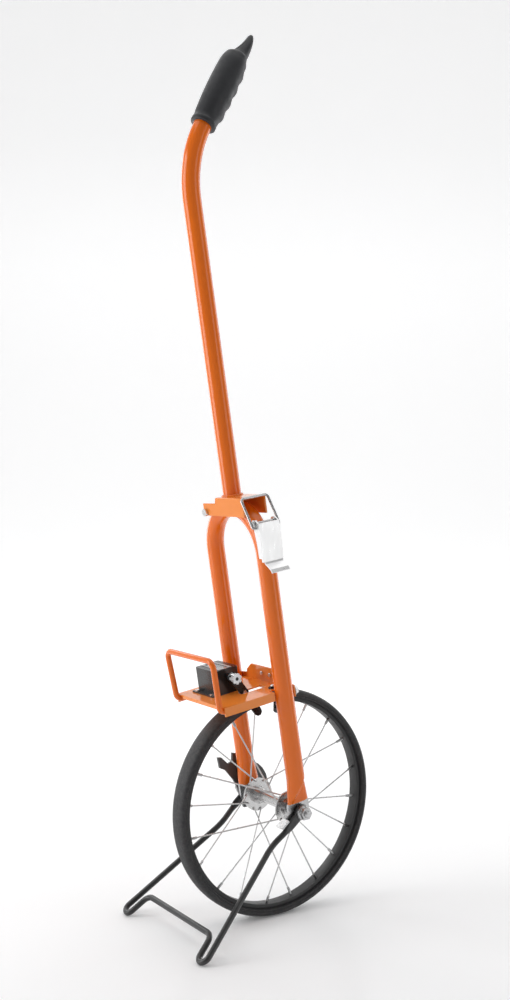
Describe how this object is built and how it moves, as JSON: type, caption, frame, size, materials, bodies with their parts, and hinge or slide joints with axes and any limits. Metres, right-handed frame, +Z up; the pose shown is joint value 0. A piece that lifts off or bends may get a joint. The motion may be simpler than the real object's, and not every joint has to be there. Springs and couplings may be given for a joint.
{
  "type": "measuring wheel",
  "caption": "Surveyor's measuring wheel: spoked wheel in an orange fork, folding handle with grip, rod stand and a counter on a guarded platform.",
  "frame": {"origin": "on the ground, under the middle of the bounding box", "axes": "+X forward, away from the stand; +Y along the axle to the far side; +Z up"},
  "size_m": [0.3423, 0.225, 1.2264],
  "materials": {
    "orange_paint": "glossy orange powder coat",
    "black_rod": "satin black paint",
    "black_plastic": "black moulding, fine grain",
    "grip_rubber": "black moulded grip",
    "tyre_rubber": "black rubber",
    "rim_black": "black",
    "bright_zinc": "bright zinc plate",
    "dark_steel": "blackened steel",
    "bearing_steel": "turned steel",
    "knob_chrome": "polished",
    "window_clear": "clear window",
    "drum_white": "white moulded drums"
  },
  "bodies": {
    "fork": {"fork_tube": "orange_paint", "dropout_near": "bright_zinc", "dropout_far": "bright_zinc", "axle": "bright_zinc", "axle_nuts": "bright_zinc", "axle_washers": "bright_zinc", "axle_spacers": "bright_zinc", "stand_bushes": "bright_zinc", "hub_cones": "bearing_steel", "cone_locknuts": "bright_zinc", "hinge_bush": "orange_paint", "latch_base": "bright_zinc", "latch_rivets": "bright_zinc", "latch_pin": "bright_zinc", "platform_tray": "orange_paint", "guard_rod": "orange_paint", "rear_bracket": "orange_paint", "bracket_bolts": "bright_zinc", "bracket_washers": "bright_zinc", "leg_rivet_nuts": "bright_zinc", "counter_base": "black_plastic", "counter_housing": "black_plastic", "counter_window": "window_clear", "counter_screws": "bright_zinc"},
    "wheel": {"tyre": "tyre_rubber", "rim": "rim_black", "spokes_near": "bright_zinc", "spokes_far": "bright_zinc", "spoke_nipples": "bright_zinc", "hub_shell": "bright_zinc", "bearing_cups": "bearing_steel", "bearing_balls": "bearing_steel", "dust_caps": "bright_zinc", "trip_striker": "dark_steel"},
    "stand": {"stand_rod": "black_rod", "stand_spacer": "black_rod", "stand_pedal": "black_plastic"},
    "handle": {"handle_tube": "orange_paint", "grip": "grip_rubber", "hinge_channel": "orange_paint", "hinge_bolt": "bright_zinc", "hinge_nut": "bright_zinc"},
    "latch_arm": {"latch_lever": "bright_zinc"},
    "bail": {"latch_bail": "bright_zinc"},
    "trip_arm": {"counter_lever": "dark_steel", "trip_finger": "dark_steel", "lever_rivet": "bright_zinc"},
    "reset": {"reset_knob": "knob_chrome", "counter_shaft": "dark_steel"},
    "drum_units_body": {"drum_units": "drum_white"},
    "drum_tens_body": {"drum_tens": "drum_white"},
    "drum_hundreds_body": {"drum_hundreds": "drum_white"},
    "drum_thousands_body": {"drum_thousands": "drum_white"},
    "drum_ten_thousands_body": {"drum_ten_thousands": "drum_white"}
  },
  "joints": [
    {"name": "wheel_spin", "type": "hinge", "parent": "fork", "child": "wheel", "pos_m": [0.012, 0, 0.15915], "axis": [0, 1, 0], "continuous": true},
    {"name": "stand_swing", "type": "hinge", "parent": "fork", "child": "stand", "pos_m": [0.012, 0, 0.15915], "axis": [0, -1, 0], "range_deg": [0, 185]},
    {"name": "handle_fold", "type": "hinge", "parent": "fork", "child": "handle", "pos_m": [-0.06024, 0.045, 0.56883], "axis": [-0.9848, 0, -0.1736], "range_deg": [0, 175]},
    {"name": "latch_lever_turn", "type": "hinge", "parent": "fork", "child": "latch_arm", "pos_m": [-0.05798, -0.071, 0.55603], "axis": [-0.9848, 0, -0.1736], "range_deg": [0, 150]},
    {"name": "bail_turn", "type": "hinge", "parent": "latch_arm", "child": "bail", "pos_m": [-0.05703, -0.0745, 0.55062], "axis": [-0.9848, 0, -0.1736], "range_deg": [-150, 0]},
    {"name": "trip_swing", "type": "hinge", "parent": "fork", "child": "trip_arm", "pos_m": [-0.07165, 0.02, 0.34272], "axis": [0, -1, 0], "range_deg": [0, 22], "stiffness_Nm_per_rad": 0.02},
    {"name": "reset_turn", "type": "hinge", "parent": "fork", "child": "reset", "pos_m": [-0.07165, 0.02, 0.34272], "axis": [0, 1, 0], "continuous": true},
    {"name": "drum_units_turn", "type": "hinge", "parent": "fork", "child": "drum_units_body", "pos_m": [-0.07165, 0.02, 0.34272], "axis": [0, 1, 0], "continuous": true},
    {"name": "drum_tens_turn", "type": "hinge", "parent": "fork", "child": "drum_tens_body", "pos_m": [-0.07165, 0.02, 0.34272], "axis": [0, 1, 0], "continuous": true},
    {"name": "drum_hundreds_turn", "type": "hinge", "parent": "fork", "child": "drum_hundreds_body", "pos_m": [-0.07165, 0.02, 0.34272], "axis": [0, 1, 0], "continuous": true},
    {"name": "drum_thousands_turn", "type": "hinge", "parent": "fork", "child": "drum_thousands_body", "pos_m": [-0.07165, 0.02, 0.34272], "axis": [0, 1, 0], "continuous": true},
    {"name": "drum_ten_thousands_turn", "type": "hinge", "parent": "fork", "child": "drum_ten_thousands_body", "pos_m": [-0.07165, 0.02, 0.34272], "axis": [0, 1, 0], "continuous": true}
  ],
  "couplings": [
    {"joint": "bail_turn", "follows": "latch_lever_turn", "ratio": -1}
  ]
}
